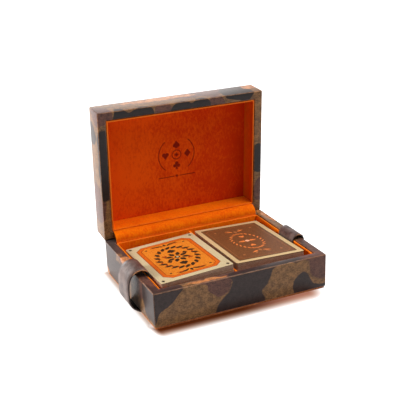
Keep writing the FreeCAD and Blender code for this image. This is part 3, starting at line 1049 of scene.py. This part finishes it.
def lamp(name, place, target, size, radiance, shades=True, shines=True):
    """A rectangular soft light of this brightness, where 1 is white.

    One that doesn't shade is seen only in glossy surfaces, and one that doesn't shine is not.
    """
    data = bpy.data.lights.new(name, "AREA")
    data.shape = "RECTANGLE"
    data.size, data.size_y = size
    data.energy = radiance * pi * size[0] * size[1]
    shown = show(name, data)
    shown.location = place
    shown.rotation_mode = "QUATERNION"
    shown.rotation_quaternion = (Vector(target) - Vector(place)).to_track_quat("-Z", "Y")
    shown.visible_camera = False
    shown.visible_diffuse = shades
    shown.visible_glossy = shines


def make_world():
    """White to the camera, and these levels for diffuse and glossy rays."""
    world = bpy.data.worlds.new("studio")
    bpy.context.scene.world = world
    sky = Finish("studio", world)
    level = sky.ray("Glossy") * (glossy_level - diffuse_level) + diffuse_level
    sky.set(Color=(1, 1, 1, 1), Strength=sky.larger(sky.ray("Camera"), level))


def make_floor():
    """White floor with a shadow painted into its colour and glow, deepest along the front of the base."""
    mesh = bpy.data.meshes.new("floor")
    ways = ((-1, -1), (1, -1), (1, 1), (-1, 1))
    mesh.from_pydata([(x * floor_reach, y * floor_reach, 0) for x, y in ways], [], [(0, 1, 2, 3)])
    floor = show("floor", mesh)
    finish = Finish("floor_white")
    mix, spread, larger = finish.mix, finish.spread, finish.larger
    seen = larger(finish.ray("Camera"), finish.ray("Glossy"))
    across = finish.coordinate("X")
    along = finish.coordinate("Y")

    def distance(first, second):
        return finish.math("SQRT", first * first + second * second)

    def outside(place, half):
        return larger(finish.math("ABSOLUTE", place) - half * mm, 0.0)

    # the deep shadow painted in front: how far a point is from it, and how bright the floor is painted there
    ahead = larger(-half_y * mm - along, 0.0)
    left = ((shadow_left - half_x) * mm - across) * 2.0
    beside = larger(larger(left, across - shadow_right * mm), 0.0)
    away = distance(beside, ahead)
    behind = spread(along, -half_y * mm, (12 - half_y) * mm)
    inner = larger(spread(away, 2 * mm, 9 * mm), behind)
    clear = larger(spread(away, 6 * mm, shadow_reach * mm), behind)
    # the narrow soft shadow painted round the other sides, which ends before the front corners
    round_box = distance(outside(across, half_x), outside(along, half_y))
    in_front = spread(0.0 - along, (half_y - 14) * mm, (half_y - 3) * mm)
    open_floor = larger(spread(round_box, 0.0, contact_reach * mm), in_front)
    fainter = spread(across, -5 * mm, shadow_right * mm)
    distant = spread(finish.vector("LENGTH", finish.where, (0, 0, 0), "Value"), 0.5, 1.6)
    # what the floor gives back to the object, darkened by the painted shadows
    painted_contact_bounce = mix(open_floor, (0.45, 0.36, 0.3, 1), floor_white)
    deep = mix(inner, (0.09, 0.02, 0.005, 1), (0.24, 0.13, 0.09, 1))
    painted_shadow_bounce = mix(clear, deep, painted_contact_bounce)
    # what it shows to the camera and in reflections, with the painted shadows
    under = mix(fainter, (0.02, 0.004, 0.0, 1), (0.36, 0.16, 0.11, 1))
    painted_faint_shadow = mix(fainter, (0.13, 0.08, 0.055, 1), (0.4, 0.26, 0.21, 1))
    bright = mix(distant, (0.68, 0.67, 0.67, 1), (1, 1, 1, 1))
    bright = mix(open_floor, (0.3, 0.24, 0.2, 1), bright)
    painted_shadow_glow = mix(clear, mix(inner, under, painted_faint_shadow), bright)
    # painted shadow: the floor's colour and glow are darker near the base
    white = finish.set(Base_Color=mix(seen, floor_white, painted_shadow_bounce), Roughness=1.0,
                       Specular_IOR_Level=0.0, Emission_Color=painted_shadow_glow, Emission_Strength=seen)
    mesh.materials.append(white)


def light_up():
    make_world()
    lamp("overhead", (0.45, -0.2, 1.05), (0, 0, 0.05), (0.7, 0.6), 8.2)
    lamp("rear", (-0.6, 1.15, 0.2), (0, 0, 0.1), (1.3, 0.4), 3.7, shades=False)
    lamp("side", (-1.25, 0.45, 0.45), (0, 0, 0.06), (0.7, 0.7), 15.0, shines=False)
    lamp("backdrop", (-0.1, 1.4, 0.6), (0, 0, 0.1), (1.8, 0.8), 1.4)


bpy.context.scene.view_settings.view_transform = "Standard"
make_camera()
light_up()
make_floor()

# ---- finishes ----
# patches placed one by one, as x, y, z and the reach along each axis
base_spots = {
    "charcoal": [
        (-62, -59, 33, 11, 14, 10), (-83, -50, 22, 8.5, 25, 21), (-71, -59, 24, 9, 8, 7),
        (-4, -59, 3, 22, 14, 15), (8, -59, 28, 17, 13, 12), (55, -59, 8, 9, 12, 12),
        (70, -59, 0, 13, 12, 7), (-76, 48, 32, 9, 22, 12), (28, -54, 34, 34, 9, 4)],
    "purple_brown": [
        (0, -54, 35, 90, 9, 4), (-22, -59, 25, 10, 8, 9), (79, -50, 27, 19, 30, 18),
        (-70, -50, 34, 14, 14, 6), (-10, -55, 34, 12, 8, 4)],
    "tan": [
        (-35.5, -55.5, 31.4, 22, 2.7, 1.3), (-76, 12, 31, 8, 7, 5), (75, 42, 31.4, 3, 18, 3)],
}
lid_spots = {
    "charcoal": [
        (-58, 50, 142, 7, 12, 9), (-37.5, 50, 142, 12, 7, 9), (-1.5, 50, 142, 9, 6, 9),
        (18, 50, 142, 7.5, 6, 9), (56, 60, 148, 16, 15, 8), (76, 56, 83.5, 9, 14, 15),
        # the charcoal at (-75, 51, 31) here and the purple-brown at (-73, 51, 58) below are painted shade on the
        # lid's left rim, in the suede roll's shade
        (-74, 51, 98, 11, 8, 37), (-75, 51, 31, 9, 9, 8), (-80, 70, 128, 7, 9, 9),
        (79, 74, 108, 9, 12, 16), (-50, 83, 128, 20, 9, 12), (-33, 83, 112, 14, 8, 14),
        (-16, 83, 100, 15, 8, 9), (22, 83, 132, 15, 9, 17), (38, 83, 112, 15, 9, 13),
        (57, 83, 100, 17, 9, 9), (-64, 83, 70, 13, 8, 20), (-48, 83, 50, 14, 8, 11),
        (8, 83, 76, 20, 9, 10), (30, 83, 66, 13, 8, 12), (-54, 71, 31, 17, 10, 6),
        (-36, 75, 31, 11, 8, 6), (36, 73, 31, 15, 9, 6)],
    "purple_brown": [
        (-78, 56, 147, 13, 14, 10), (-18, 50, 142, 10, 6, 9), (32, 50, 142, 9, 6, 9),
        # the purple-brown at (-73, 51, 58) is painted shade on the lid's left rim
        (-73, 51, 58, 9, 5, 11), (22, 72, 151, 44, 14, 5), (76, 54, 52, 8, 10, 12),
        (-80, 68, 64, 7, 12, 20), (79, 76, 60, 8, 10, 14), (-12, 83, 132, 20, 9, 10),
        (0, 83, 118, 12, 8, 12), (62, 83, 132, 15, 9, 13), (-66, 83, 98, 17, 8, 12),
        (-36, 83, 84, 22, 8, 10), (56, 83, 72, 16, 8, 14), (-14, 83, 52, 17, 8, 10),
        (-6, 83, 52, 16, 8, 9), (-6, 70, 31, 19, 9, 6), (64, 69, 31, 14, 9, 6)],
    "tan": [
        (-16, 68, 150.5, 38, 4.5, 3), (73, 68, 150.5, 8, 7, 3), (-20, 83, 68, 15, 8, 4),
        (16, 83, 104, 11, 5, 3), (-60, 83, 108, 4, 5, 11), (34, 83, 58, 10, 5, 3)],
}
base_leather = camouflage_leather("base_camouflage_leather", base_spots, -58, srgb(40, 29, 27))
# the lid's copy has darker charcoal patches than the base's: painted shade for the lid's rim, which gets less
# light
lid_leather = camouflage_leather("lid_camouflage_leather", lid_spots, 74, srgb(22, 15, 14))
# the lid panel's suede below is a darker, redder copy of orange_suede, with lean 0.7: painted shade for the inside
# of the open lid
orange_suede = suede("orange_suede", srgb(238, 86, 3), srgb(255, 123, 6))
tan_suede = suede("tan_suede", srgb(150, 80, 46), srgb(196, 116, 72))
painted_shade_suede = suede("lid_suede_painted_shade", srgb(200, 47, 4), srgb(230, 82, 9), 0.7)
strap_outside = strap_leather()
strap_inside = speckled("strap_leather_inside", 0.5, 4.0, 0.15, srgb(22, 18, 18),
                        srgb(44, 36, 34), 0.08, Roughness=0.9, Specular_IOR_Level=0.2)
strap_edge = raw_edge()
board = speckled("fibreboard", 0.8, 5.0, 0.15, srgb(150, 116, 78), srgb(196, 160, 116), 0.08,
                 Roughness=0.85)
card_sides = speckled("card_edge", 0.3, 3.0, 0.12, srgb(140, 108, 88), srgb(184, 154, 130), 0.02,
                      stretch=(0.2, 0.2, 3.0), Roughness=0.6)

finishes = {"board": board, "camouflage_leather": base_leather, "orange_suede": orange_suede,
            "strap_leather": strap_outside, "hinge_brass": brass(), "card_stock": card_sides,
            "orange_card_back": printed("orange_print", srgb(226, 128, 32), srgb(206, 106, 20)),
            "brown_card_back": printed("brown_print", srgb(112, 66, 36), srgb(96, 54, 28))}
slots = {part["node"]: part["material_slot"] for part in frame["record"]["subparts"]}
for node, shown in frame["nodes"].items():
    shown.data.materials.clear()
    shown.data.materials.append(tan_suede if node == "underside_panel" else finishes[slots[node]])

base_cover()
lid_cover()
base_linings()
lid_linings()
lid_panel_suede()
hinge_roll()
decks()
pull_straps()
